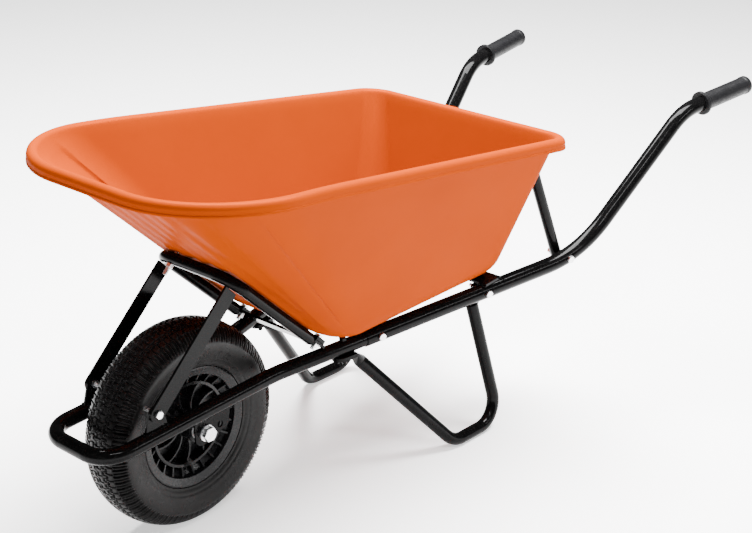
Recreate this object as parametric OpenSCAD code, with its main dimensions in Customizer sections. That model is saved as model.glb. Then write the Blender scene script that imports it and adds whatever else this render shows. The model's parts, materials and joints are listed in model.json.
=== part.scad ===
// Builder's wheelbarrow: a plastic tray on a bent steel tube frame, with one pneumatic wheel.
// X runs from the nose to the handles, Y to the barrow's right, Z up. The ground is z = 0.
// Everything is laid out from the axle, then moved so that the origin is under the middle.
// Left pieces are drawn on the -Y side, and right pieces are their mirror images.

/* [Wheel] */
// Outer diameter of the tyre
tyre_d = 380; // [370:2:390]
// Width of the tyre
tyre_w = 104; // [98:2:106]
// Diameter over the rim's flanges
rim_d = 226; // [220:2:230]
// Width over the rim's flanges
rim_w = 78; // [74:2:82]
// Diameter of the axle bolt
axle_d = 16; // [14:1:16]

/* [Tubes] */
// Outer diameter of the handle tubes
handle_d = 32; // [31:0.5:33]
// Wall thickness of every tube
tube_wall = 1.6; // [1.4:0.1:1.8]
// Outer diameter of the leg tubes
leg_d = 25; // [22:1:26]
// Outer diameter of the hoop under the tray's front
hoop_d = 22; // [20:1:22]
// Outer diameter of the stays behind the tray
stay_d = 22; // [20:1:24]

/* [Frame] */
// Distance from the axle forward to the middle of the nose tube
nose_reach = 229; // [226:1:240]
// Height of the nose tube's middle above the ground
nose_z = 229; // [224:1:234]
// Distance of each rail from the middle plane beside the wheel
rail_y = 82; // [81:1:86]
// Distance behind the axle where the rails splay
splay_x = 154; // [140:2:168]
// Height of the rails' middle where they splay
splay_z = 252; // [248:1:256]
// Distance behind the axle of the handles' lower bend
low_bend_x = 868; // [860:2:880]
// Distance behind the axle of the handles' upper bend
high_bend_x = 1138; // [1130:2:1150]
// Distance behind the axle of the handles' ends
end_x = 1338; // [1330:2:1350]
// Distance of each handle's end from the middle plane
end_y = 304; // [298:1:310]
// Height of the handles' ends
end_z = 580; // [570:2:590]

/* [Legs] */
// Distance behind the axle of each leg's front foot bend
foot_front_x = 517; // [510:1:524]
// Distance behind the axle of each leg's rear foot bend
foot_rear_x = 655; // [650:1:662]
// Distance of each foot from the middle plane
foot_y = 200; // [194:1:206]

/* [Tray] */
// Distance from the axle forward to the middle of the front lip
lip_front = 160; // [156:1:164]
// Distance behind the axle of the middle of the rear lip
lip_rear = 781; // [776:1:786]
// Half the tray's width at its front, between the lips' middles
lip_half_front = 282; // [278:1:286]
// Half the tray's width at its rear, between the lips' middles
lip_half_rear = 254; // [250:1:258]
// Radius of the rolled lip
lip_r = 11; // [9:1:12]
// Thickness of the tray's plastic
tray_wall = 4; // [3.5:0.5:5]

/* [Hidden] */
$fn = 64;
eps = 0.01;
gap = 0.3;
hair = 0.03;

loop_d = handle_d - 2 * tube_wall - 0.4;
loop_r = loop_d / 2;
handle_r = handle_d / 2;
leg_r = leg_d / 2;
hoop_r = hoop_d / 2;
tyre_r = tyre_d / 2;
axle_z = tyre_r;
grip_past = 6.1;
mid_x = (end_x + grip_past - nose_reach - loop_r) / 2;

// Key points of the frame's left side
low_bend = [low_bend_x, -229, 313];
high_bend = [high_bend_x, -281, 562];
handle_end = [end_x, -end_y, end_z];
splay = [splay_x, -rail_y, splay_z];
nose = [-nose_reach, -rail_y, nose_z];
splay_run = low_bend_x - splay_x;
rail_out = (229 - rail_y) / splay_run;
rail_up = (313 - splay_z) / splay_run;
rail_dir = unit([1, -rail_out, rail_up]);
low_bend_r = 260;
high_bend_r = 115;
handle_rise = unit(high_bend - low_bend);
low_turn = acos(rail_dir * handle_rise);
low_normal = unit(handle_rise - rail_dir * (rail_dir * handle_rise));
low_start = low_bend - rail_dir * low_bend_r * tan(low_turn / 2);
plan_angle = atan(rail_out);
rail_tilt = asin(rail_dir.z);
sleeve_x = 345;
loop_end_x = 455;
sleeve_bolt_x = 374;
leg_tab_x = 300;
rear_joint_x = 624;
rear_plate_x = 640;

// Tray geometry: floor plane along the rails, and lip heights from front to rear
cross_t = 5;
floor_front_x = 265;
floor_rear_x = 690;
floor_half_front = 152;
floor_half_rear = 183;
lip_z0 = 669;
lip_fall = 0.12;
lip_droop = 0.000178;
lip_droop_x = 150;
floor_fillet = 40;
floor_corner = 62;
lip_corner_front = 189;
lip_corner_rear = 50;

// Sheet and plate sizes
plate_t = 4;
strap_t = 5;
strap_w = 30;
flat_t = 7;
tab_y = rail_y;
axle_plate_y = rail_y - loop_r - plate_t + 0.2;
spare_hole_x = 33;
spare_hole_z = axle_z + 4;
spare_hole_r = 6.5;
strap_foot = [-120, -(tab_y + plate_t / 2 + strap_t / 2 + 0.1), 279];

// Fastener sizes
bolt_d = 8;
head_af = 13;
head_h = 5.3;
nut_h = 6.5;
hole_d = bolt_d + 0.6;

// Wheel sizes
hub_half = 50;
hub_r = 24;
bearing_w = 11;
bearing_or = 17.5;
bearing_ir = axle_d / 2 + 0.05;
race_mid_r = 12.9;
ball_r = 2.6;
ball_count = 9;

function unit(v) = v / norm(v);
function lerp(a, b, t) = a + (b - a) * t;

// A point on the left rail's or handle's middle line, at distance x behind the axle
function rail_at(x) = [x, -(rail_y + rail_out * (x - splay_x)), splay_z + rail_up * (x - splay_x)];
// A point on the middle line of the handle's lower bend, a degrees round it
function bend_at(a) =
    low_start + rail_dir * low_bend_r * sin(a) + low_normal * low_bend_r * (1 - cos(a));
// A point on the loop's straight side beside the wheel
function side_at(x) = lerp(nose, splay, (x + nose_reach) / (splay_x + nose_reach));

// ---- Placing helpers ----

// Moves the object's middle over the origin
module placed() translate([-mid_x, 0, 0]) children();
// The mirror image on the right side
module to_right() mirror([0, 1, 0]) children();
// Both sides
module both_sides() {
    children();
    to_right() children();
}
// Puts local x, y and z along three unit vectors, at a point
module axes(o, x, y, z)
    multmatrix([[x.x, y.x, z.x, o.x], [x.y, y.y, z.y, o.y], [x.z, y.z, z.z, o.z], [0, 0, 0, 1]])
        children();
// Turns local z from one point towards another
module towards(from, to) {
    d = to - from;
    translate(from)
        rotate([0, acos(d.z / norm(d)), atan2(d.y, d.x)])
            children();
}
// Local frame on the left rail: x along the tube, y towards the middle plane, z up
module on_rail(x)
    translate(rail_at(x))
        rotate([0, -rail_tilt, -plan_angle])
            children();
// The same directions on the handle's lower bend, where the stay is bolted
stay_foot_turn = 11;
module on_stay_foot()
    translate(bend_at(stay_foot_turn))
        rotate([0, -rail_tilt, -plan_angle])
            children();

// ---- Tubes ----

// A straight tube between two points
module pipe(a, b, od, id)
    towards(a, b)
        difference() {
            cylinder(d = od, h = norm(b - a));
            translate([0, 0, -1])
                cylinder(d = id, h = norm(b - a) + 2);
        }

// A tube bend of radius r at point p, between directions u and v
module bend(p, u, v, r, od, id) {
    n = unit(v - u * (u * v));
    turn = acos(u * v);
    axes(p - u * r * tan(turn / 2) + n * r, -n, u, cross(u, n))
        rotate_extrude(angle = turn)
            translate([r, 0])
                difference() {
                    circle(d = od);
                    circle(d = id);
                }
}

function set_back(pts, radii, i) =
    (i == 0 || i == len(pts) - 1) ? 0 :
    radii[i] * tan(acos(unit(pts[i] - pts[i - 1]) * unit(pts[i + 1] - pts[i])) / 2);

// A bent tube along straight runs, with a bend radius at each inner point and a
// hair-thin band over each place where a run meets a bend
seam = 0.05;
band_half = 0.6;
module bent_tube(pts, radii, od, id) {
    for (i = [0 : len(pts) - 2]) {
        u = unit(pts[i + 1] - pts[i]);
        pipe(pts[i] + u * (set_back(pts, radii, i) + seam),
            pts[i + 1] - u * (set_back(pts, radii, i + 1) + seam), od, id);
    }
    for (i = [1 : len(pts) - 2]) {
        u = unit(pts[i] - pts[i - 1]);
        v = unit(pts[i + 1] - pts[i]);
        reach = set_back(pts, radii, i);
        bend(pts[i], u, v, radii[i], od, id);
        for (end = [[pts[i] - u * reach, u], [pts[i] + v * reach, v]])
            pipe(end[0] - end[1] * band_half, end[0] + end[1] * band_half, od + seam, id - seam);
    }
}

// A flat tab with a round end and a bolt hole; local x along it, z through it
module tab(len, w, t, hole_x)
    translate([0, 0, -t / 2])
        linear_extrude(t)
            difference() {
                union() {
                    translate([0, -w / 2])
                        square([len - w / 2, w]);
                    translate([len - w / 2, 0])
                        circle(d = w);
                }
                translate([hole_x, 0])
                    circle(d = hole_d);
            }

// The crushed stretch between a round tube's end and the start of a flat tab
module crush(tube_end, tube_dir, od, w, t)
    hull() {
        towards(tube_end, tube_end + tube_dir)
            cylinder(d = od - 0.6, h = 1.5, $fn = 32);
        children();
    }

// ---- Fasteners ----

// Hex bolt: head's seat at the origin, shank along -z
module bolt(len, d = bolt_d, af = head_af, h = head_h) {
    difference() {
        cylinder(d = af / cos(30), h = h, $fn = 6);
        translate([0, 0, h - 0.6])
            difference() {
                cylinder(d = 3 * af, h = 1);
                translate([0, 0, -eps])
                    cylinder(d1 = af * 1.14, d2 = af * 0.94, h = 0.7);
            }
    }
    translate([0, 0, -len])
        cylinder(d = d, h = len + eps);
}
// Domed bolt with a wide flat head, as used through plastic
module dome_bolt(len, d = bolt_d) {
    intersection() {
        translate([0, 0, 4 - 15])
            sphere(r = 15);
        cylinder(r = 11, h = 5);
    }
    translate([0, 0, -len])
        cylinder(d = d, h = len + eps);
}
module nut(d = bolt_d, af = head_af, h = nut_h)
    difference() {
        cylinder(d = af / cos(30), h = h, $fn = 6);
        translate([0, 0, -1])
            cylinder(d = d + 0.1, h = h + 2);
    }

// ---- Front loop, handles and grips ----

module front_loop()
    color("#141414")
    placed()
        difference() {
            bent_tube([rail_at(loop_end_x), splay, nose, [nose.x, -nose.y, nose.z],
                [splay.x, -splay.y, splay.z], [loop_end_x, -rail_at(loop_end_x).y, rail_at(loop_end_x).z]],
                [0, 150, 50, 50, 150, 0], loop_d, loop_d - 2 * tube_wall);
            both_sides() {
                on_rail(sleeve_bolt_x)
                    rotate([90, 0, 0])
                        cylinder(d = hole_d, h = 60, center = true);
                on_rail(leg_tab_x)
                    cylinder(d = hole_d, h = 60, center = true);
            }
        }

module handle()
    difference() {
        bent_tube([rail_at(sleeve_x), low_bend, high_bend, handle_end],
            [0, low_bend_r, high_bend_r, 0], handle_d, handle_d - 2 * tube_wall);
        for (x = [sleeve_bolt_x, rear_joint_x])
            on_rail(x)
                rotate([90, 0, 0])
                    cylinder(d = hole_d, h = 60, center = true);
        on_stay_foot()
            rotate([90, 0, 0])
                cylinder(d = hole_d, h = 60, center = true);
    }
module left_handle() color("#141414") placed() handle();
module right_handle() color("#141414") placed() to_right() handle();

// Rubber grip: flange at the front, slightly flared closed end
grip_len = 150;
grip_d = 37;
grip_flange_d = 50;
module grip() {
    grip_dir = unit(handle_end - high_bend);
    towards(handle_end, handle_end + grip_dir)
        translate([0, 0, 3.5])
            rotate_extrude()
                polygon([[0, 0], [grip_d / 2, 0], [grip_d / 2 + 1, -2], [grip_d / 2 + 1, -9],
                    [grip_d / 2, -12], [grip_d / 2, -grip_len + 14], [grip_flange_d / 2 - 2, -grip_len + 8],
                    [grip_flange_d / 2, -grip_len + 6], [grip_flange_d / 2, -grip_len + 2],
                    [grip_flange_d / 2 - 2, -grip_len], [handle_r + 0.1, -grip_len],
                    [handle_r + 0.1, -3.4], [0, -3.4]]);
}
module left_grip() color("#1a1a1a") placed() grip();
module right_grip() color("#1a1a1a") placed() to_right() grip();

// ---- Legs ----

leg_front_bend = rail_at(leg_tab_x + 24) - [0, 0, loop_r + 12];
foot_front = [foot_front_x, -foot_y, leg_r];
foot_rear = [foot_rear_x, -foot_y, leg_r];
leg_rear_top = [609, -164, 262];
leg_w = 34;

module leg() {
    down = unit(foot_front - leg_front_bend);
    arm_start = leg_front_bend + down * 16;
    up = unit(leg_rear_top - foot_rear);
    arm_end = leg_rear_top + up * 2;
    bent_tube([arm_start, foot_front, foot_rear, arm_end], [0, 50, 50, 0], leg_d, leg_d - 2 * tube_wall);
    crush(arm_start - down * hair, -down, leg_d)
        on_rail(leg_tab_x)
            translate([19.5 + hair, -leg_w / 2, -loop_r - flat_t - 0.1])
                cube([1, leg_w, flat_t]);
    on_rail(leg_tab_x)
        translate([19.5, 0, -loop_r - flat_t / 2 - 0.1])
            rotate([0, 0, 180])
                tab(44, leg_w, flat_t, 19.5);
    crush(arm_end + up * hair, up, leg_d)
        rear_tab_frame()
            translate([-13.5 - hair, -14, -flat_t / 2])
                cube([1, 28, flat_t]);
    rear_tab_frame()
        translate([-12.5, 0, 0])
            tab(12.5 + 14, 28, flat_t, 12.5);
}
// Frame on the rear joint's bolt, beside the handle: x up, z towards the middle plane
module rear_tab_frame()
    on_rail(rear_joint_x)
        translate([0, handle_r + flat_t / 2 + 0.1, 0])
            rotate([0, 0, 180])
                rotate([90, 0, 0])
                    rotate([0, 0, 90])
                        children();
module left_leg() color("#141414") placed() leg();
module right_leg() color("#141414") placed() to_right() leg();

// ---- Hoop, straps and tabs under the tray's front ----

function floor_z(x) = splay_z + rail_up * (x - splay_x) + handle_r + cross_t + gap;
function lip_z(x) = lip_z0 - lip_fall * x - lip_droop * pow(min(0, x - lip_droop_x), 2);
wall_inset = lip_r - 3;
wall_low = [floor_front_x, 0, floor_z(floor_front_x)];
wall_high = [wall_inset - lip_front, 0, lip_z(-lip_front)];
wall_dir = unit(wall_high - wall_low);
wall_out = [-wall_dir.z, 0, wall_dir.x];
// A point below the front wall: up along the wall from the floor, then out from it
function front_wall_at(up, out, y) = wall_low + wall_dir * up + wall_out * out + [0, y, 0];

hoop_y = 98;
hoop_up = 288;
hoop_low = 38;
hoop_out = hoop_r + 0.6;
cross_bolt_up = 22;
hoop_bolt_y = 52;

module front_hoop() {
    corner = front_wall_at(hoop_up, hoop_out, -hoop_y);
    foot = front_wall_at(hoop_low, hoop_out, -hoop_y);
    color("#141414")
    placed()
        difference() {
            union() {
                bent_tube([foot, corner, [corner.x, -corner.y, corner.z], [foot.x, -foot.y, foot.z]],
                    [0, 42, 42, 0], hoop_d, hoop_d - 2 * tube_wall);
                both_sides() {
                    crush(foot - wall_dir * hair, -wall_dir, hoop_d)
                        hoop_tab_frame()
                            translate([-1.5 - hair, -14, -flat_t / 2])
                                cube([1, 28, flat_t]);
                    hoop_tab_frame()
                        translate([-0.5, 0, 0])
                            tab(32, 28, flat_t, 15);
                }
            }
            axes(front_wall_at(hoop_up, 0, hoop_bolt_y), wall_dir, [0, 1, 0], wall_out)
                cylinder(d = hole_d, h = 80, center = true);
        }
}
// Frame at the start of the hoop's flat foot: x down the wall, z away from the tray
module hoop_tab_frame()
    axes(front_wall_at(cross_bolt_up + 14.5, flat_t / 2 + 1, -hoop_y), -wall_dir, [0, -1, 0], wall_out)
        children();

// Flat bar across both rails, along the foot of the tray's front wall
module front_cross_bar()
    color("#141414")
    placed()
        difference() {
            axes(front_wall_at(3, flat_t + 1.2, 0), wall_dir, [0, 1, 0], wall_out)
                translate([0, -108, 0])
                    cube([33, 2 * 108, cross_t]);
            for (y = [-hoop_y, hoop_y])
                axes(front_wall_at(cross_bolt_up, 0, y), wall_dir, [0, 1, 0], wall_out)
                    cylinder(d = hole_d, h = 80, center = true);
        }

// Flat bar from the tab on the rail up to the hoop's corner
module strap() {
    top = front_wall_at(hoop_up - 20, hoop_out + hoop_r + 1, strap_foot.y);
    run = top - strap_foot;
    along = unit(run);
    axes(strap_foot, along, [0, -1, 0], cross([0, 1, 0], along))
        rotate([90, 0, 0])
            translate([0, 0, -strap_t / 2])
                linear_extrude(strap_t)
                    difference() {
                        union() {
                            circle(d = strap_w);
                            translate([0, -strap_w / 2])
                                square([norm(run), strap_w]);
                        }
                        circle(d = hole_d);
                    }
}
module left_strap() color("#141414") placed() strap();
module right_strap() color("#141414") placed() to_right() strap();

// Upright tab welded on the rail for the strap's foot
module strap_tab()
    difference() {
        translate([0, -tab_y + plate_t / 2, 0])
            rotate([90, 0, 0])
                linear_extrude(plate_t)
                    difference() {
                        hull() {
                            translate([strap_foot.x, strap_foot.z])
                                circle(d = 30);
                            translate([strap_foot.x - 26, side_at(strap_foot.x).z])
                                square([52, 5]);
                        }
                        translate([strap_foot.x, strap_foot.z])
                            circle(d = hole_d);
                    }
        towards(nose, splay)
            cylinder(r = loop_r + 0.05, h = 400);
    }
module left_strap_tab() color("#141414") placed() strap_tab();
module right_strap_tab() color("#141414") placed() to_right() strap_tab();

// ---- Axle plates ----

module axle_plate() {
    top = side_at(0).z - 2;
    difference() {
        translate([0, -axle_plate_y, 0])
            rotate([90, 0, 0])
                linear_extrude(plate_t)
                    difference() {
                        hull() {
                            translate([-26, top - 6])
                                square([80, 6]);
                            translate([-8, axle_z - 6])
                                circle(r = 16);
                            translate([42, axle_z + 6])
                                circle(r = 12);
                        }
                        translate([0, axle_z])
                            circle(d = axle_d + 0.3);
                        translate([spare_hole_x, spare_hole_z])
                            circle(r = spare_hole_r);
                    }
        towards(nose, splay)
            cylinder(r = loop_r + 0.05, h = 400);
    }
}
module left_axle_plate() color("#141414") placed() axle_plate();
module right_axle_plate() color("#141414") placed() to_right() axle_plate();

// ---- Rear cross plate and stays ----

rear_plate_w = 45;
floor_bolt_y = 70;
// Frame on the middle of the rear cross plate, with z square to the tray's floor
module on_rear_plate(y)
    translate([rear_plate_x, y, rail_at(rear_plate_x).z])
        rotate([0, -atan(rail_up), 0])
            children();
module rear_cross_plate()
    color("#141414")
    placed()
        difference() {
            on_rear_plate(0)
                translate([-rear_plate_w / 2, -192, handle_r + 0.1])
                    cube([rear_plate_w, 2 * 192, cross_t]);
            for (y = [-floor_bolt_y, floor_bolt_y])
                on_rear_plate(y)
                    cylinder(d = hole_d, h = 60);
        }

// The tray's rear wall, at its outer face
rear_low = [floor_rear_x, 0, floor_z(floor_rear_x)];
rear_high = [lip_rear - wall_inset, 0, lip_z(lip_rear)];
rear_dir = unit(rear_high - rear_low);
rear_out = [rear_dir.z, 0, -rear_dir.x];
stay_r = stay_d / 2;
stay_top_up = 205;
stay_top_y = 187;
stay_below = 14;
stay_plate_w = 30;
stay_plate_low = 180;
stay_bolt_up = 240;
stay_bolt_y = 185;
stay_plate_out = 0.6;
function rear_wall_at(up, out, y) = rear_low + rear_dir * up + rear_out * out + [0, y, 0];
// Local frame on the rear wall: x up the wall, z into the tray
module on_rear_wall(up, out, y)
    axes(rear_wall_at(up, out, y), rear_dir, [0, 1, 0], -rear_out)
        children();

// Round tube from the handle's inner side up to a bolted plate on the rear wall
module stay() {
    inward = [sin(plan_angle), cos(plan_angle), 0];
    foot = bend_at(stay_foot_turn) + inward * (handle_r + stay_r + 0.1);
    middle_out = stay_plate_out + strap_t / 2;
    top = rear_wall_at(stay_top_up, middle_out, -stay_top_y);
    run = unit(top - foot);
    difference() {
        pipe(foot - run * stay_below, top + run * stay_d, stay_d, stay_d - 2 * tube_wall);
        on_rear_wall(stay_top_up, middle_out, -stay_top_y)
            translate([-60, -60, 0])
                cube(120);
        on_stay_foot()
            rotate([-90, 0, 0])
                cylinder(d = hole_d, h = 80);
    }
    on_rear_wall(stay_plate_low, middle_out, -stay_bolt_y)
        tab(stay_bolt_up - stay_plate_low + stay_plate_w / 2, stay_plate_w, strap_t,
            stay_bolt_up - stay_plate_low);
}
module left_stay() color("#141414") placed() stay();
module right_stay() color("#141414") placed() to_right() stay();

// ---- Tray ----

// Plan of a four-sided ring with round corners: n points round each corner
function corner_arc(p, a, b, r, n) =
    let (u = unit(a - p), v = unit(b - p), half = acos(u * v) / 2,
        c = p + unit(u + v) * r / sin(half), s = p + u * r / tan(half) - c,
        e = p + v * r / tan(half) - c, turn = 180 - 2 * half)
    [for (i = [0 : n]) c + (s * sin(turn * (1 - i / n)) + e * sin(turn * i / n)) / sin(turn)];
function ring_plan(xf, xr, wf, wr, rf, rr, n) =
    let (p = [[xf, -wf], [xr, -wr], [xr, wr], [xf, wf]], r = [rf, rr, rr, rf])
    [for (i = [0 : 3]) each corner_arc(p[i], p[(i + 3) % 4], p[(i + 1) % 4], r[i], n)];

corner_steps = 14;
floor_ring = ring_plan(floor_front_x, floor_rear_x, floor_half_front, floor_half_rear,
    floor_corner, floor_corner, corner_steps);
function lip_ring(inset) = ring_plan(inset - lip_front, lip_rear - inset, lip_half_front - inset,
    lip_half_rear - inset, lip_corner_front - inset, lip_corner_rear - inset, corner_steps);
ring_n = len(floor_ring);

function lifted(ring, top) = [for (p = ring) [p.x, p.y, top ? lip_z(p.x) : floor_z(p.x)]];
low_ring = lifted(floor_ring, false);
high_ring = lifted(lip_ring(wall_inset), true);
// The wall's outer face at height share t, then set in by d towards the inside
function wall_ring(t, d) = let (ring = [for (i = [0 : ring_n - 1]) lerp(low_ring[i], high_ring[i], t)])
    [for (i = [0 : ring_n - 1]) let (
        a = ring[(i + ring_n - 1) % ring_n], b = ring[(i + 1) % ring_n],
        side = unit([b.x - a.x, b.y - a.y, 0]), slope = lerp(rail_up, -lip_fall, t))
        ring[i] + [-side.y, side.x, -side.y * slope] * d];

// The round edge between wall and floor: inset and lift at angle a, for a fillet of radius r
function edge_in(r, a) = r * (1 - sin(a));
function edge_up(r, a) = r * (1 - cos(a));
tray_depth = 330;
function edge_ring(r, a, set) = [for (p = wall_ring(edge_up(r, a) / tray_depth, edge_in(r, a) + set)) p];

// One ring round the rolled lip, at angle a from straight down outside, on radius r
function roll_ring(a, r) = let (ring = lifted(lip_ring(-r * cos(a)), true))
    [for (p = ring) p + [0, 0, r * sin(a)]];

module tray_shell() {
    outer = concat(
        [for (a = [0 : 15 : 75]) edge_ring(floor_fillet, a, 0)],
        [for (t = [edge_up(floor_fillet, 90) / tray_depth, 0.3, 0.5, 0.7, 0.9]) wall_ring(t, 0)],
        [wall_ring(0.985, 0)],
        [roll_ring(-40, lip_r - tray_wall), roll_ring(0, lip_r - tray_wall)],
        [roll_ring(-50, lip_r)]);
    inner = concat(
        [for (a = [-20 : 25 : 130]) roll_ring(a, lip_r)],
        [wall_ring(0.985, tray_wall)],
        [for (t = [0.9, 0.7, 0.5, 0.3]) wall_ring(t, tray_wall)],
        [for (a = [90 : -15 : 0]) lift_in(edge_ring(floor_fillet, a, tray_wall), 1 - a / 90)]);
    rings = concat(outer, inner);
    count = len(rings);
    polyhedron(
        points = [for (r = rings) each r],
        faces = concat(
            [[for (i = [0 : ring_n - 1]) i]],
            [for (k = [0 : count - 2]) for (i = [0 : ring_n - 1]) let (j = (i + 1) % ring_n)
                each [[k * ring_n + i, (k + 1) * ring_n + i, (k + 1) * ring_n + j],
                    [k * ring_n + i, (k + 1) * ring_n + j, k * ring_n + j]]],
            [[for (i = [ring_n - 1 : -1 : 0]) (count - 1) * ring_n + i]]));
}
// Raises the inside face by the plastic's thickness where it turns into the floor
function lift_in(ring, share) = [for (p = ring) p + [0, 0, tray_wall * share]];

module tray()
    color("#f0560c")
    placed()
        difference() {
            tray_shell();
            axes(front_wall_at(hoop_up, 0, hoop_bolt_y), wall_dir, [0, 1, 0], wall_out)
                cylinder(d = hole_d, h = 80, center = true);
            both_sides() {
                on_rear_plate(-floor_bolt_y)
                    cylinder(d = hole_d, h = 60);
                on_rear_wall(stay_bolt_up, 0, -stay_bolt_y)
                    cylinder(d = hole_d, h = 40, center = true);
            }
        }

// ---- Fasteners in place ----

// Bolt from the outer side through a rail, and its nut on the inner side
module cross_bolt(len)
    translate([0, -handle_r - 0.1, 0])
        rotate([90, 0, 0])
            bolt(len);
module cross_nut(reach)
    translate([0, reach + 0.1, 0])
        rotate([-90, 0, 0])
            nut();

module sleeve_bolts() color("silver") placed() both_sides() on_rail(sleeve_bolt_x) cross_bolt(46);
module sleeve_nuts() color("silver") placed() both_sides() on_rail(sleeve_bolt_x) cross_nut(handle_r);
module rear_joint_bolts() color("silver") placed() both_sides() on_rail(rear_joint_x) cross_bolt(56);
module rear_joint_nuts()
    color("silver")
    placed()
        both_sides()
            on_rail(rear_joint_x)
                cross_nut(handle_r + flat_t + 0.2);
module stay_foot_bolts() color("silver") placed() both_sides() on_stay_foot() cross_bolt(64);
module stay_foot_nuts()
    color("silver")
    placed()
        both_sides()
            on_stay_foot()
                cross_nut(handle_r + stay_d + 0.5);
// Domed bolts through the tray's rear wall and the stays' top plates
module stay_top_bolts()
    color("silver")
    placed()
        both_sides()
            on_rear_wall(stay_bolt_up, -tray_wall - 0.5, -stay_bolt_y)
                dome_bolt(22);
module stay_top_nuts()
    color("silver")
    placed()
        both_sides()
            axes(rear_wall_at(stay_bolt_up, stay_plate_out + strap_t + 0.1, -stay_bolt_y),
                rear_dir, [0, -1, 0], rear_out)
                nut();

module leg_bolts()
    color("silver")
    placed()
        both_sides()
            on_rail(leg_tab_x)
                translate([0, 0, loop_r + 0.1])
                    bolt(50);
module leg_nuts()
    color("silver")
    placed()
        both_sides()
            on_rail(leg_tab_x)
                translate([0, 0, -loop_r - flat_t - 0.2])
                    rotate([180, 0, 0])
                        nut();

// Hex bolts through the straps and their tabs
module strap_bolts()
    color("silver")
    placed()
        both_sides()
            translate(strap_foot - [0, strap_t / 2 + 0.1, 0])
                rotate([90, 0, 0])
                    bolt(34);
module strap_nuts()
    color("silver")
    placed()
        both_sides()
            translate([strap_foot.x, -tab_y + plate_t / 2 + 0.1, strap_foot.z])
                rotate([-90, 0, 0])
                    nut();

// Bolts joining the hoop's flat feet to the front cross bar
module hoop_end_bolts()
    color("silver")
    placed()
        both_sides()
            axes(front_wall_at(cross_bolt_up, 0.9, -hoop_y), wall_dir, [0, -1, 0], -wall_out)
                bolt(24);
module hoop_end_nuts()
    color("silver")
    placed()
        both_sides()
            axes(front_wall_at(cross_bolt_up, flat_t + cross_t + 1.4, -hoop_y),
                wall_dir, [0, 1, 0], wall_out)
                nut();

// Domed bolts holding the tray: one through the hoop, on the right, and two through
// the rear cross plate
module hoop_tray_bolt()
    color("silver")
    placed()
        axes(front_wall_at(hoop_up, -tray_wall - 0.2, hoop_bolt_y), wall_dir, [0, -1, 0], -wall_out)
            dome_bolt(48);
module hoop_tray_nut()
    color("silver")
    placed()
        axes(front_wall_at(hoop_up, hoop_out + hoop_r + 0.1, hoop_bolt_y), wall_dir, [0, 1, 0], wall_out)
            nut();
module floor_bolts()
    color("silver")
    placed()
        both_sides()
            on_rear_plate(-floor_bolt_y)
                translate([0, 0, handle_r + cross_t + gap + tray_wall + 0.1])
                    dome_bolt(28);
module floor_nuts()
    color("silver")
    placed()
        both_sides()
            on_rear_plate(-floor_bolt_y)
                translate([0, 0, handle_r])
                    rotate([180, 0, 0])
                        nut();

// ---- Wheel: every piece is a body of revolution about the axle ----

// Frame of the wheel: local z along the axle towards the left, origin in the middle of the hub
module on_axle(out = 0)
    placed()
        translate([0, -out, axle_z])
            rotate([90, 0, 0])
                children();

axle_af = 24;
axle_washer_t = 3;
plate_out = axle_plate_y + plate_t;
module axle_bolt()
    color("silver")
    on_axle(plate_out + axle_washer_t + 0.2)
        bolt(2 * plate_out + 2 * axle_washer_t + 24, axle_d, axle_af, 10);
module axle_nut()
    color("silver")
    on_axle(-plate_out - axle_washer_t - 0.2 - 14)
        nut(axle_d, axle_af, 14);
module axle_washers()
    color("silver")
    for (side = [-1, 1])
        on_axle(side * (plate_out + 0.1 + axle_washer_t / 2))
            ring(axle_d / 2 + 0.2, 15, axle_washer_t);

// A ring centred on the axle, of inner and outer radius and width
module ring(r_in, r_out, w)
    rotate_extrude()
        translate([r_in, -w / 2])
            square([r_out - r_in, w]);

// Spacers between each hub end and the axle plate
module side_spacer(side)
    color("silver")
    on_axle(side * (hub_half + axle_plate_y) / 2)
        ring(axle_d / 2 + 0.05, 11.5, axle_plate_y - hub_half - 0.2);
module left_spacer() side_spacer(1);
module right_spacer() side_spacer(-1);
module bearing_spacer()
    color("silver")
    on_axle()
        ring(axle_d / 2 + 0.05, 10.2, 2 * (hub_half - bearing_w) - 0.2);

race_at = hub_half - bearing_w / 2;
ball_gap = 0.08;
module inner_race(side)
    color("silver")
    on_axle(side * race_at)
        rotate_extrude()
            difference() {
                translate([bearing_ir, -bearing_w / 2])
                    square([race_mid_r - 1.4 - bearing_ir, bearing_w]);
                translate([race_mid_r, 0])
                    circle(r = ball_r + ball_gap);
            }
module outer_race(side)
    color("silver")
    on_axle(side * race_at)
        rotate_extrude()
            difference() {
                translate([race_mid_r + 1.4, -bearing_w / 2])
                    square([bearing_or - race_mid_r - 1.4, bearing_w]);
                translate([race_mid_r, 0])
                    circle(r = ball_r + ball_gap);
            }
module balls(side)
    color("silver")
    on_axle(side * race_at)
        for (i = [0 : ball_count - 1])
            rotate([0, 0, i * 360 / ball_count])
                translate([race_mid_r, 0, 0])
                    sphere(r = ball_r);
module left_inner_race() inner_race(1);
module right_inner_race() inner_race(-1);
module left_outer_race() outer_race(1);
module right_outer_race() outer_race(-1);
module left_balls() balls(1);
module right_balls() balls(-1);

flange_r = rim_d / 2;
seat_r = flange_r - 12;
well_r = seat_r - 11;
rim_t = 4;
mid_ring_r = 80;
main_ribs = 11;
short_ribs = 24;
valve_angle = 262;
valve_d = 7.5;
cap_d = 9.5;
valve_len = 20;
cap_len = 9;

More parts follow.
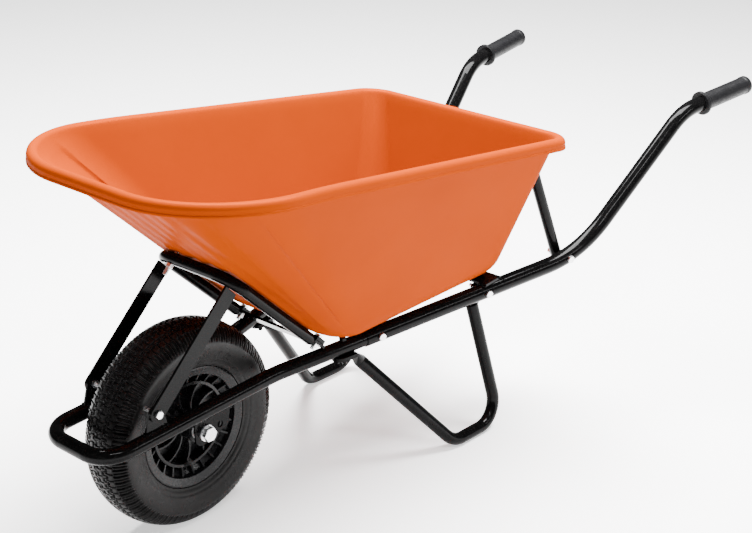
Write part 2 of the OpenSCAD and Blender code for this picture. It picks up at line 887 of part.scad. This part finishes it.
// Half of the rim's cross-section, from the web out to one flange
module rim_section()
    polygon([[well_r, 0], [well_r, 14], [seat_r - 1, 21], [seat_r, rim_w / 2 - 8], [seat_r + 2, rim_w / 2 - 5],
        [flange_r - 1, rim_w / 2 - 3.5], [flange_r, rim_w / 2 - 1.5], [flange_r - 1, rim_w / 2],
        [flange_r - 3, rim_w / 2], [seat_r - rim_t, rim_w / 2 - 4], [seat_r - rim_t - 1, 23],
        [well_r - rim_t, 16], [well_r - rim_t, 4], [mid_ring_r, 4], [mid_ring_r, 24], [mid_ring_r - 5, 24],
        [mid_ring_r - 5, 4], [hub_r + 4, 4], [hub_r, 12], [hub_r, hub_half], [bearing_or + 0.05, hub_half],
        [bearing_or + 0.05, hub_half - bearing_w - 0.1], [14, hub_half - bearing_w - 0.1], [14, 0]]);

module rim()
    color("#1c1c1c")
    on_axle()
        difference() {
            union() {
                rotate_extrude() {
                    rim_section();
                    mirror([0, 1])
                        rim_section();
                }
                for (i = [0 : short_ribs - 1])
                    rotate([0, 0, i * 360 / short_ribs])
                        short_rib();
                for (i = [0 : main_ribs - 1])
                    rotate([0, 0, i * 360 / main_ribs])
                        curved_rib();
            }
            in_valve_line()
                translate([0, 0, -8])
                    cylinder(r = 6.5, h = 60);
        }

// A short radial rib on each face, between middle ring and barrel
rib_t = 3;
module short_rib()
    rotate([90, 0, 0])
        linear_extrude(rib_t, center = true)
            for (side = [0, 1])
                mirror([0, side])
                    polygon([[mid_ring_r - 1, 3], [mid_ring_r - 1, 22], [seat_r - rim_t + 1, 30],
                        [seat_r - rim_t - 0.5, 23], [well_r - rim_t + 1, 16.5], [well_r - rim_t + 1, 3]]);

// A rib bowed between hub and middle ring
rib_bow = 40;
module curved_rib()
    translate([0, 0, -20])
        linear_extrude(40)
            intersection() {
                translate([(hub_r + mid_ring_r) / 2 - 2, -rib_bow])
                    difference() {
                        circle(r = 50);
                        circle(r = 50 - rib_t);
                    }
                difference() {
                    circle(r = mid_ring_r - 4);
                    circle(r = hub_r - 1);
                    translate([-100, -200])
                        square([200, 200 - 2]);
                }
            }

// A half outline from the middle plane and back to it, closed with its own mirror image
function both_ways(half) =
    concat(half, [for (i = [len(half) - 2 : -1 : 1]) [half[i].x, -half[i].y]]);

// Tyre: casing, beads and tread, with a tread groove on each shoulder
module tyre()
    color("#202020")
    on_axle()
        rotate_extrude()
            polygon(both_ways([[tyre_r, 0], [tyre_r - 1, 16], [tyre_r - 4, 30], [tyre_r - 8, 40], [tyre_r - 15, 48],
                        [tyre_r - 22, 51], [tyre_r - 38, tyre_w / 2], [tyre_r - 52, 51], [tyre_r - 64, 46],
                        [tyre_r - 74, 38.5], [flange_r + 0.5, rim_w / 2 + 0.5], [flange_r + 0.6, rim_w / 2 - 4],
                        [seat_r + 3, rim_w / 2 - 5.6], [seat_r + 0.3, rim_w / 2 - 9], [seat_r + 0.3, 20],
                        [seat_r + 6, 20], [flange_r + 6, 30], [tyre_r - 64, 38], [tyre_r - 52, 44],
                        [tyre_r - 38, 45], [tyre_r - 20, 42], [tyre_r - 12, 28], [tyre_r - 10, 0]]));

// Inflated tube filling the casing, drawn as two halves that meet on the middle plane
module inner_tube()
    color("#101010")
    on_axle()
        rotate_extrude()
            for (side = [0, 1])
                mirror([0, side])
                    polygon([[tyre_r - 11, 0], [tyre_r - 13, 27], [tyre_r - 21, 41], [tyre_r - 38, 44],
                        [tyre_r - 52, 43], [tyre_r - 64, 37], [flange_r + 5, 29], [seat_r + 5, 18.5], [well_r + 1, 13],
                        [well_r + 1, 0], [well_r + 3, 0], [well_r + 3, 12], [seat_r + 6, 17], [flange_r + 5, 26],
                        [tyre_r - 64, 34], [tyre_r - 52, 40], [tyre_r - 38, 41], [tyre_r - 22, 38],
                        [tyre_r - 15, 26], [tyre_r - 13, 0]]);

// Along the valve, which leans out of the rim's well towards the left
module in_valve_line()
    rotate([0, 0, valve_angle])
        translate([well_r - 2.5, 0, 11])
            rotate([0, -45, 0])
                children();
module valve_stem()
    color("#151515")
    on_axle()
        in_valve_line()
            cylinder(d = valve_d, h = valve_len);
module valve_cap()
    color("#0d0d0d")
    on_axle()
        in_valve_line()
            translate([0, 0, valve_len + 0.1])
                cylinder(d = cap_d, h = cap_len);

front_loop();
left_handle();
right_handle();
left_grip();
right_grip();
left_leg();
right_leg();
front_hoop();
left_strap();
right_strap();
left_strap_tab();
right_strap_tab();
left_axle_plate();
right_axle_plate();
front_cross_bar();
rear_cross_plate();
left_stay();
right_stay();
tray();
sleeve_bolts();
sleeve_nuts();
leg_bolts();
leg_nuts();
rear_joint_bolts();
rear_joint_nuts();
stay_foot_bolts();
stay_foot_nuts();
stay_top_bolts();
stay_top_nuts();
strap_bolts();
strap_nuts();
hoop_end_bolts();
hoop_end_nuts();
hoop_tray_bolt();
hoop_tray_nut();
floor_bolts();
floor_nuts();
axle_bolt();
axle_nut();
axle_washers();
left_spacer();
right_spacer();
bearing_spacer();
left_inner_race();
right_inner_race();
left_outer_race();
right_outer_race();
left_balls();
right_balls();
rim();
tyre();
inner_tube();
valve_stem();
valve_cap();
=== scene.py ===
import json
import math

import bpy
import numpy as np
from mathutils import Matrix, Vector


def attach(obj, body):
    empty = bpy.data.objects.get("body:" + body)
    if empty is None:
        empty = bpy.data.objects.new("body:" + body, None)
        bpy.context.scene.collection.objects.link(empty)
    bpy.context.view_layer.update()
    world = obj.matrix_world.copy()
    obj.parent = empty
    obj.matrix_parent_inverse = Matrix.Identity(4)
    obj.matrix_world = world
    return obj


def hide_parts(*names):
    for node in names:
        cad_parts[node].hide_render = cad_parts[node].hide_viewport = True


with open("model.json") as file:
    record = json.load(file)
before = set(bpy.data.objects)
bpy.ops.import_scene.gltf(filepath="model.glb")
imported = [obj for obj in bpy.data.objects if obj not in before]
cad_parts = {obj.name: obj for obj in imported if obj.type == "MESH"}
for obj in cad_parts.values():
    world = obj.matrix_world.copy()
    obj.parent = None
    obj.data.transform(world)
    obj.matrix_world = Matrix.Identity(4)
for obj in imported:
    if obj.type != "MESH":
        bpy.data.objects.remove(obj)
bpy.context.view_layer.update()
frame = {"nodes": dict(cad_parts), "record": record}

# The CAD's own lengths are in mm from the axle; the frame's origin is MID_X behind it.
MID_X = 550.45
AXLE_Z = 190.0


def at(x, y, z):
    return Vector(((x - MID_X) / 1000, y / 1000, z / 1000))


# ---------------------------------------------------------------- materials


def noise(tree, place, scale, detail=4.0, rough=0.55):
    coords = tree.nodes.new("ShaderNodeTexCoord")
    made = tree.nodes.new("ShaderNodeTexNoise")
    made.location = place
    made.inputs["Scale"].default_value = scale
    made.inputs["Detail"].default_value = detail
    made.inputs["Roughness"].default_value = rough
    tree.links.new(coords.outputs["Object"], made.inputs["Vector"])
    return made


def ranged(tree, source, low, high, start=0.3, end=0.7):
    made = tree.nodes.new("ShaderNodeMapRange")
    made.inputs["From Min"].default_value = start
    made.inputs["From Max"].default_value = end
    made.inputs["To Min"].default_value = low
    made.inputs["To Max"].default_value = high
    tree.links.new(source, made.inputs["Value"])
    return made.outputs["Result"]


def finish_of(name, light, dark, rough, metal=0.0, bump=0.05, grain=900.0, patch=14.0, specular=0.5,
              marks=0.0, mark_tint=(0.35, 0.33, 0.3, 1)):
    """A painted, moulded or metal surface: two blended tones, varied roughness, fine grain and faint marks."""
    made = bpy.data.materials.new(name)
    made.use_nodes = True
    tree = made.node_tree
    shader = tree.nodes["Principled BSDF"]
    broad = noise(tree, (-900, 200), patch, 5.0)
    mix = tree.nodes.new("ShaderNodeMix")
    mix.data_type = "RGBA"
    mix.inputs[6].default_value = (*dark, 1)
    mix.inputs[7].default_value = (*light, 1)
    tree.links.new(ranged(tree, broad.outputs["Fac"], 0, 1), mix.inputs["Factor"])
    colour = mix.outputs[2]
    if marks:
        fine = noise(tree, (-900, -100), patch * 9, 8.0, 0.7)
        dust = tree.nodes.new("ShaderNodeMix")
        dust.data_type = "RGBA"
        dust.inputs[7].default_value = mark_tint
        tree.links.new(colour, dust.inputs[6])
        tree.links.new(ranged(tree, fine.outputs["Fac"], 0, marks, 0.52, 0.74), dust.inputs["Factor"])
        colour = dust.outputs[2]
    tree.links.new(colour, shader.inputs["Base Color"])
    rub = noise(tree, (-900, -400), patch * 3, 6.0)
    tree.links.new(ranged(tree, rub.outputs["Fac"], rough[0], rough[1]), shader.inputs["Roughness"])
    skin = noise(tree, (-900, -700), grain, 3.0, 0.6)
    relief = tree.nodes.new("ShaderNodeBump")
    relief.inputs["Strength"].default_value = bump
    relief.inputs["Distance"].default_value = 0.001
    tree.links.new(skin.outputs["Fac"], relief.inputs["Height"])
    tree.links.new(relief.outputs["Normal"], shader.inputs["Normal"])
    shader.inputs["Metallic"].default_value = metal
    shader.inputs["Specular IOR Level"].default_value = specular
    return made


LOOKS = {
    "tray_plastic": finish_of(
        "tray_plastic", (0.26, 0.031, 0.0), (0.245, 0.0285, 0.0), (0.30, 0.42),
        bump=0.10, grain=1400, patch=6, specular=0.0, metal=0.08),
    "frame_paint": finish_of(
        "frame_paint", (0.0022, 0.0021, 0.0022), (0.0012, 0.0012, 0.0013), (0.07, 0.14),
        bump=0.02, grain=420, patch=30, specular=0.05, marks=0.02),
    "grip_rubber": finish_of(
        "grip_rubber", (0.005, 0.005, 0.0055), (0.003, 0.003, 0.0035), (0.36, 0.52),
        bump=0.25, grain=1800, patch=30, specular=0.1, marks=0.02),
    "tyre_rubber": finish_of(
        "tyre_rubber", (0.006, 0.0055, 0.0055), (0.003, 0.0028, 0.0028), (0.22, 0.38),
        bump=0.30, grain=1300, patch=18, specular=0.1, marks=0.05, mark_tint=(0.16, 0.15, 0.14, 1)),
    "rim_plastic": finish_of(
        "rim_plastic", (0.004, 0.004, 0.0045), (0.002, 0.002, 0.0025), (0.2, 0.36),
        bump=0.12, grain=900, patch=26, specular=0.15, marks=0.03),
    "tube_rubber": finish_of(
        "tube_rubber", (0.016, 0.016, 0.016), (0.009, 0.009, 0.009), (0.4, 0.6), bump=0.2),
    "cap_plastic": finish_of(
        "cap_plastic", (0.012, 0.012, 0.012), (0.008, 0.008, 0.008), (0.3, 0.5), bump=0.15),
    "bearing_steel": finish_of(
        "bearing_steel", (0.62, 0.62, 0.63), (0.46, 0.46, 0.48), (0.2, 0.36),
        metal=1.0, bump=0.05, grain=2400),
    "zinc": finish_of(
        "zinc", (0.80, 0.80, 0.80), (0.58, 0.58, 0.60), (0.2, 0.4),
        metal=1.0, bump=0.18, grain=1500, patch=120),
}


def dress(obj, slot):
    obj.data.materials.clear()
    obj.data.materials.append(LOOKS[slot])


def add_piece(name, verts, faces, slot, body, angle=None):
    mesh = bpy.data.meshes.new(name)
    mesh.from_pydata([tuple(v) for v in verts], [], [tuple(f) for f in faces])
    mesh.update()
    obj = bpy.data.objects.new(name, mesh)
    bpy.context.scene.collection.objects.link(obj)
    mesh.shade_smooth()
    if angle is not None:
        mesh.set_sharp_from_angle(angle=math.radians(angle))
    dress(obj, slot)
    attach(obj, body)
    return obj


for part in frame["record"]["subparts"]:
    dress(frame["nodes"][part["node"]], part["material_slot"])

# ---------------------------------------------------------------- tray

FLOOR_FRONT, FLOOR_REAR = 265.0, 690.0
FLOOR_HALF = (152.0, 183.0)
FLOOR_CORNER = 62.0
FLOOR_SLOPE = 61 / 714
LIP_FRONT, LIP_REAR = -160.0, 781.0
LIP_HALF = (282.0, 254.0)
LIP_CORNER = (189.0, 50.0)
LIP_FALL = 0.12
LIP_R = 11.0
WALL = 4.0
FILLET = 40.0
DEPTH = 330.0
WALL_INSET = LIP_R - 3
ARC = 48
SIDE = (40, 56, 34, 56)


def floor_z(x):
    return 252 + FLOOR_SLOPE * (x - 154) + 16 + 5.3


def lip_z(x):
    return 669 - LIP_FALL * x - 0.000178 * np.minimum(0, x - 150) ** 2


def corner(p, a, b, r):
    u, v = (a - p) / np.linalg.norm(a - p), (b - p) / np.linalg.norm(b - p)
    half = math.acos(float(u @ v)) / 2
    c = p + (u + v) / np.linalg.norm(u + v) * r / math.sin(half)
    s, e = p + u * r / math.tan(half) - c, p + v * r / math.tan(half) - c
    turn = math.pi - 2 * half
    t = np.linspace(0, 1, ARC + 1)[:, None]
    return c + (s * np.sin(turn * (1 - t)) + e * np.sin(turn * t)) / math.sin(turn)


def plan(xf, xr, wf, wr, rf, rr):
    p = [np.array(q, float) for q in ((xf, -wf), (xr, -wr), (xr, wr), (xf, wf))]
    arcs = [corner(p[i], p[i - 1], p[(i + 1) % 4], (rf, rr, rr, rf)[i]) for i in range(4)]
    out = []
    for i in range(4):
        nxt = arcs[(i + 1) % 4][0]
        out.append(arcs[i])
        n = SIDE[(i + 1) % 4]
        t = np.linspace(0, 1, n + 1)[1:-1, None]
        out.append(arcs[i][-1] * (1 - t) + nxt * t)
    return np.vstack(out)


def lip_plan(inset):
    return plan(LIP_FRONT + inset, LIP_REAR - inset, LIP_HALF[0] - inset, LIP_HALF[1] - inset,
                LIP_CORNER[0] - inset, LIP_CORNER[1] - inset)


FLOOR = plan(FLOOR_FRONT, FLOOR_REAR, FLOOR_HALF[0], FLOOR_HALF[1], FLOOR_CORNER, FLOOR_CORNER)
LOW = np.column_stack([FLOOR, floor_z(FLOOR[:, 0])])
HIGH = lip_plan(WALL_INSET)
HIGH = np.column_stack([HIGH, lip_z(HIGH[:, 0])])
N = len(LOW)


def step(x, a, b):
    t = np.clip((x - a) / (b - a), 0, 1)
    return t * t * (3 - 2 * t)


# Flutes run up the front wall, and a raised band up each front corner
FLUTE_AT = (0, 42, 84, 126)
FLUTE_W = 11.0
FLUTE_DEEP = 3.2
BAND_RISE = 4.5
FAR_ARC = 3 * (ARC + 1) + sum(SIDE[1:4]) - 3
ON_FRONT = np.zeros(N)
ON_FRONT[:ARC] = 1
ON_FRONT[FAR_ARC:] = 1
NEAR_PLACE = np.arange(N) / ARC
FAR_PLACE = 1 - (np.arange(N) - FAR_ARC) / ARC


def relief(ring, t):
    """How far the wall stands out from its smooth shape, in mm."""
    tall = step(t, 0.10, 0.2) * (1 - step(t, 0.92, 0.975))
    flutes = sum(np.exp(-(((np.abs(ring[:, 1]) - y) / FLUTE_W) ** 4)) for y in FLUTE_AT)
    band = sum(step(place, 0.36, 0.44) * (1 - step(place, 0.68, 0.71))
               for place in (NEAR_PLACE, FAR_PLACE))
    return (BAND_RISE * band - FLUTE_DEEP * flutes * ON_FRONT) * tall


def wall_ring(t, inset, carve=True):
    ring = LOW * (1 - t) + HIGH * t
    side = np.roll(ring, -1, 0) - np.roll(ring, 1, 0)
    side[:, 2] = 0
    side /= np.linalg.norm(side, axis=1)[:, None]
    slope = FLOOR_SLOPE * (1 - t) - LIP_FALL * t
    inward = np.column_stack([-side[:, 1], side[:, 0], -side[:, 1] * slope])
    d = inset - (relief(ring, t) if carve else 0)
    return ring + inward * np.reshape(d * np.ones(N), (N, 1))


def edge_ring(a, inset, lift=0.0):
    ring = wall_ring(FILLET * (1 - math.cos(a)) / DEPTH, FILLET * (1 - math.sin(a)) + inset)
    ring[:, 2] += lift
    return ring


def lip_ring(out, up):
    ring = lip_plan(-out)
    return np.column_stack([ring, lip_z(ring[:, 0]) + up])


def shell_rings():
    rings = [edge_ring(math.radians(a), 0) for a in np.linspace(0, 90, 13)]
    start = FILLET / DEPTH
    rings += [wall_ring(t, 0) for t in np.linspace(start, 0.96, 22)[1:]]
    rings += [lip_ring(-LIP_R + 3.2, -13), lip_ring(-LIP_R + 6.2, -7), lip_ring(-2.5, -1), lip_ring(3, -1.5),
              lip_ring(6.5, -5), lip_ring(6.8, -11.0), lip_ring(7.4, -11.6), lip_ring(11.4, -11.4),
              lip_ring(11.9, -10.6), lip_ring(11.9, -7.6), lip_ring(11.5, -7.0), lip_ring(10.9, -6.6)]
    rings += [lip_ring(LIP_R * math.cos(a), LIP_R * math.sin(a)) for a in np.radians(np.linspace(-12, 150, 19))]
    rings += [lip_ring(-LIP_R * 0.98 - 0.4, 1.5), wall_ring(0.965, WALL)]
    rings += [wall_ring(t, WALL) for t in np.linspace(0.94, start, 22)]
    rings += [edge_ring(math.radians(a), WALL, WALL * (1 - a / 90)) for a in np.linspace(90, 0, 13)[1:]]
    return rings


def capped_grid(rings):
    verts = np.vstack(rings)
    faces = []
    for k in range(len(rings) - 1):
        for i in range(N):
            j = (i + 1) % N
            faces.append((k * N + i, (k + 1) * N + i, (k + 1) * N + j, k * N + j))
    return verts, faces


def disc_fill(ring, first, flip, verts, faces, levels=10):
    """Fills a flat ring with smaller rings down to its middle."""
    centre = ring.mean(axis=0)
    before = first
    for k in range(1, levels):
        t = k / levels
        base = len(verts)
        verts.extend(ring * (1 - t) + centre * t)
        for i in range(N):
            j = (i + 1) % N
            quad = (before + i, before + j, base + j, base + i)
            faces.append(quad[::-1] if flip else quad)
        before = base
    base = len(verts)
    verts.append(centre)
    for i in range(N):
        tri = (before + i, before + (i + 1) % N, base)
        faces.append(tri[::-1] if flip else tri)


def make_tray():
    rings = shell_rings()
    v, faces = capped_grid(rings)
    verts = list(v)
    disc_fill(rings[0], 0, False, verts, faces)
    disc_fill(rings[-1], (len(rings) - 1) * N, True, verts, faces)
    verts = [at(*p) for p in verts]
    tray = add_piece("tray_moulding", verts, faces, "tray_plastic", "frame", angle=38)
    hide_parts("tray")
    return tray


make_tray()

# ---------------------------------------------------------------- stay top bolts

STAY_BOLT_UP = 240.0
STAY_BOLT_Y = 185.0
SHANK_R = 4.0
SHANK_FROM, SHANK_TO = -2.0, 17.4
SHANK_SIDES = 32


def make_stay_top_shanks():
    """The stays' top bolts, from within the wall outwards, with no head in the tray."""
    low = np.array([FLOOR_REAR, 0, floor_z(FLOOR_REAR)])
    high = np.array([LIP_REAR - WALL_INSET, 0, float(lip_z(LIP_REAR))])
    rise = (high - low) / np.linalg.norm(high - low)
    out = np.array([rise[2], 0, -rise[0]])
    across = np.array([0.0, 1.0, 0.0])
    verts, faces = [], []
    for y in (-STAY_BOLT_Y, STAY_BOLT_Y):
        base = len(verts)
        for reach in (SHANK_FROM, SHANK_TO):
            centre = low + rise * STAY_BOLT_UP + out * reach + across * y
            for k in range(SHANK_SIDES):
                a = 2 * math.pi * k / SHANK_SIDES
                verts.append(at(*(centre + SHANK_R * (math.cos(a) * across + math.sin(a) * rise))))
        for k in range(SHANK_SIDES):
            j = (k + 1) % SHANK_SIDES
            faces.append((base + k, base + j, base + SHANK_SIDES + j, base + SHANK_SIDES + k))
        faces.append(tuple(base + k for k in reversed(range(SHANK_SIDES))))
        faces.append(tuple(base + SHANK_SIDES + k for k in range(SHANK_SIDES)))
    shanks = add_piece("stay_top_shanks", verts, faces, "zinc", "frame", angle=40)
    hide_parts("stay_top_bolts")


make_stay_top_shanks()

# ---------------------------------------------------------------- tyre

TYRE_R = 190.0
TURNS = 1008
PITCHES = 42
# The tyre's outline as (radius, half width): the sidewall from the bead up, then the tread
PROFILE = [(101.3, 20), (101.3, 29), (103, 33.0), (109, 34.6), (113.6, 37.2), (114.2, 39.8), (117.5, 40.4),
           (121, 42.6), (124, 43.6), (127, 44.0), (129, 45.6), (132, 46.4), (137, 47.6), (143, 49.4),
           (149, 50.6), (154, 51.2), (158, 51.0)]
TREAD = [(162, 50.4), (165, 49.6), (168, 48.4), (171, 46.8), (174, 44.8), (177, 42.2), (179.6, 39.4),
         (181.8, 36.2), (183.7, 32.6), (185.3, 28.6), (186.7, 24.4), (187.8, 20), (188.7, 15.4), (189.4, 10.4),
         (189.8, 5.2), (TYRE_R, 0)]


def smooth_line(points, count):
    p = np.array(points, float)
    s = np.r_[0, np.cumsum(np.linalg.norm(np.diff(p, axis=0), axis=1))]
    t = np.linspace(0, s[-1], count)
    return np.column_stack([np.interp(t, s, p[:, 0]), np.interp(t, s, p[:, 1])])


def wave(phase, sharp=3.2):
    return np.clip(sharp * np.sin(2 * np.pi * phase), -1, 1)


def groove(d, half, soft=0.9):
    return 1 - step(np.abs(d), half, half + soft)


def tread_depth(phase, y):
    """How far the rubber is cut down at a place on the tread, in mm."""
    cut = np.zeros_like(phase)
    for y0, amp, lag, half in ((0, 4.2, 0.0, 1.3), (19, 4.0, 0.25, 1.3), (-19, 4.0, 0.75, 1.3)):
        line = y0 + amp * wave(phase * 2 + lag)
        cut = np.maximum(cut, 3.2 * groove(y - line, half))
    pitch = 2 * np.pi * TYRE_R / PITCHES

    def across(offset, half, wobble, low, high, deep):
        ph = (phase + offset + wobble * wave(y / 26.0)) % 1.0
        d = np.minimum(ph, 1 - ph) * pitch
        inside = step(np.abs(y), low, low + 1.2) * (1 - step(np.abs(y), high, high + 1.2))
        return deep * groove(d, half) * inside

    for k in range(2):
        cut = np.maximum(cut, across(0.5 * k, 0.5, 0.06, 0.5, 19, 2.4))
        cut = np.maximum(cut, across(0.25 + 0.5 * k, 0.9, 0.03, 20, 34, 2.8))
        cut = np.maximum(cut, across(0.05 + 0.5 * k, 1.9, 0.0, 34, 60, 4.6))
        cut = np.maximum(cut, across(0.30 + 0.5 * k, 0.9, 0.0, 33, 60, 3.0))
    return cut


def make_tyre():
    side = smooth_line(PROFILE, 44)
    top = smooth_line(PROFILE[-1:] + TREAD, 52)[1:]
    outer = np.vstack([side, top, (top * [1, -1])[-2::-1], (side * [1, -1])[::-1]])
    tangent = np.gradient(outer, axis=0)
    normal = np.column_stack([tangent[:, 1], -tangent[:, 0]])
    normal /= np.linalg.norm(normal, axis=1)[:, None]
    inner_pts = [(101.3, 20), (107, 21), (119, 30), (126, 38), (138, 44), (152, 45), (170, 42), (178, 28),
                 (180, 0)]
    inner = smooth_line(inner_pts, 30)
    inner = np.vstack([inner[1:], (inner * [1, -1])[-2::-1]])[:-1]
    theta = np.arange(TURNS) * 2 * np.pi / TURNS
    phase = (theta * PITCHES / (2 * np.pi)) % 1.0
    rows = []
    for k, (r, y) in enumerate(outer):
        worn = step(np.array([r]), 158.5, 166)[0]
        turned = (phase + (0.5 if y < 0 else 0)) % 1.0
        deep = tread_depth(turned, np.full(TURNS, y if abs(y) > 1e-6 else 0.0)) * worn
        n = normal[k]
        n = n if n @ np.array([r - 145, y]) > 0 else -n
        rows.append((r - deep * n[0], y - deep * n[1]))
    for r, y in inner[::-1]:
        rows.append((np.full(TURNS, r), np.full(TURNS, y)))
    verts = []
    c, s = np.cos(theta), np.sin(theta)
    for r, y in rows:
        r = r * np.ones(TURNS)
        y = y * np.ones(TURNS)
        verts.append(np.column_stack([r * c, y, AXLE_Z + r * s]))
    m = len(rows)
    v = np.vstack(verts)
    v = (v - [MID_X, 0, 0]) / 1000
    faces = []
    for k in range(m):
        a, b = k * TURNS, ((k + 1) % m) * TURNS
        for i in range(TURNS):
            j = (i + 1) % TURNS
            faces.append((a + i, a + j, b + j, b + i))
    tyre = add_piece("tyre_moulding", v, faces, "tyre_rubber", "wheel", angle=50)
    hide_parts("tyre")


make_tyre()

# ---------------------------------------------------------------- weld beads

rng = np.random.default_rng(7)
RAIL_OUT, RAIL_UP = 147 / 714, FLOOR_SLOPE
RIPPLE = 3.4


def rail(x):
    return np.array([x, -(82 + RAIL_OUT * (x - 154)), 252 + RAIL_UP * (x - 154)])


def side(x):
    return np.array([x, -82, 229 + 23 / 383 * (x + 229)])


def blob(centre, along, size, verts, faces):
    """One flattened ripple of a weld: a low-poly ball squashed along the bead."""
    base = len(verts)
    rows, cols = 6, 9
    along = along / np.linalg.norm(along)
    a = np.cross(along, [0.1, 0.3, 1.0])
    a /= np.linalg.norm(a)
    b = np.cross(along, a)
    for i in range(rows + 1):
        th = math.pi * i / rows
        for j in range(cols):
            ph = 2 * math.pi * j / cols
            verts.append(centre + size * (0.75 * math.cos(th) * along
                                          + math.sin(th) * (math.cos(ph) * a + math.sin(ph) * b)))
    for i in range(rows):
        for j in range(cols):
            k = (j + 1) % cols
            faces.append((base + i * cols + j, base + (i + 1) * cols + j, base + (i + 1) * cols + k,
                          base + i * cols + k))


def weld(name, runs):
    verts, faces = [], []
    for mirror in (1, -1):
        for start, end, size in runs:
            n = max(2, int(np.linalg.norm(end - start) / RIPPLE))
            for k in range(n + 1):
                spot = start + (end - start) * k / n + rng.normal(0, 0.35, 3)
                run = (end - start) * [1, mirror, 1]
                blob(spot * [1, mirror, 1], run, size * rng.uniform(0.85, 1.15), verts, faces)
    add_piece(name, [at(*v) for v in verts], faces, "frame_paint", "frame")


TUBE_R = 14.2
TAB_RUN = (-144, -97)
PLATE_RUN = (-24, 52)
CROSS_PLATE_EDGES = (617, 662)
weld("weld_strap_tabs", [(side(TAB_RUN[0]) + [0, d, TUBE_R - 0.5], side(TAB_RUN[1]) + [0, d, TUBE_R - 0.5], 2.0)
                         for d in (-4.2, 4.2)])
weld("weld_axle_plates", [(side(PLATE_RUN[0]) + [0, 13.2, -7.5], side(PLATE_RUN[1]) + [0, 13.2, -7.5], 2.0)])
weld("weld_rear_plate", [(rail(x) + [0, -12, 15.2], rail(x) + [0, 4, 17.0], 2.4) for x in CROSS_PLATE_EDGES])

# ---------------------------------------------------------------- floor, lights, camera


def make_floor():
    mesh = bpy.data.meshes.new("studio_floor")
    half = 14.0
    corners = [(-half, -half, 0), (half, -half, 0), (half, half, 0), (-half, half, 0)]
    mesh.from_pydata(corners, [], [(0, 1, 2, 3)])
    floor = bpy.data.objects.new("studio_floor", mesh)
    bpy.context.scene.collection.objects.link(floor)
    made = bpy.data.materials.new("studio_floor")
    made.use_nodes = True
    shader = made.node_tree.nodes["Principled BSDF"]
    shader.inputs["Base Color"].default_value = (0.95, 0.95, 0.95, 1)
    shader.inputs["Emission Color"].default_value = (1, 1, 1, 1)
    shader.inputs["Emission Strength"].default_value = 0.9
    shader.inputs["Roughness"].default_value = 0.9
    shader.inputs["Specular IOR Level"].default_value = 0.1
    mesh.materials.append(made)


make_floor()

world = bpy.data.worlds.new("studio")
bpy.context.scene.world = world
world.use_nodes = True
world.node_tree.nodes["Background"].inputs["Color"].default_value = (1, 1, 1, 1)
world.node_tree.nodes["Background"].inputs["Strength"].default_value = 0.15


def softbox(name, place, aim, size, power):
    data = bpy.data.lights.new(name, "AREA")
    data.shape = "RECTANGLE"
    data.size, data.size_y = size
    data.energy = power
    obj = bpy.data.objects.new(name, data)
    bpy.context.scene.collection.objects.link(obj)
    obj.location = place
    obj.rotation_euler = (Vector(aim) - Vector(place)).to_track_quat("-Z", "Y").to_euler()


softbox("key", (-1.5, -2.0, 3.2), (0, 0, 0.3), (1.8, 0.22), 90)
softbox("top", (0.5, 0.2, 3.0), (0, 0, 0.3), (3.0, 1.2), 950)
softbox("side", (1.4, -3.2, 1.8), (0.1, 0, 0.4), (1.4, 0.14), 38)

# The camera: where it stands in the CAD's mm, and which way it looks
CAMERA_PLACE = (-1595.4, -1941.5, 1507.2)
AZ, EL = math.radians(-47.576), math.radians(22.715)
back = Vector((math.sin(AZ) * math.cos(EL), -math.cos(AZ) * math.cos(EL), math.sin(EL)))
right = Vector((math.cos(AZ), math.sin(AZ), 0))
up = back.cross(right)
turn = Matrix((right, up, back)).transposed().to_4x4()
data = bpy.data.cameras.new("camera")
data.sensor_width = 36.0
data.lens = 75.87
data.shift_x = -0.0084
data.shift_y = 0.0130
data.clip_end = 60
camera = bpy.data.objects.new("camera", data)
bpy.context.scene.collection.objects.link(camera)
camera.matrix_world = Matrix.Translation(at(*CAMERA_PLACE)) @ turn
bpy.context.scene.camera = camera
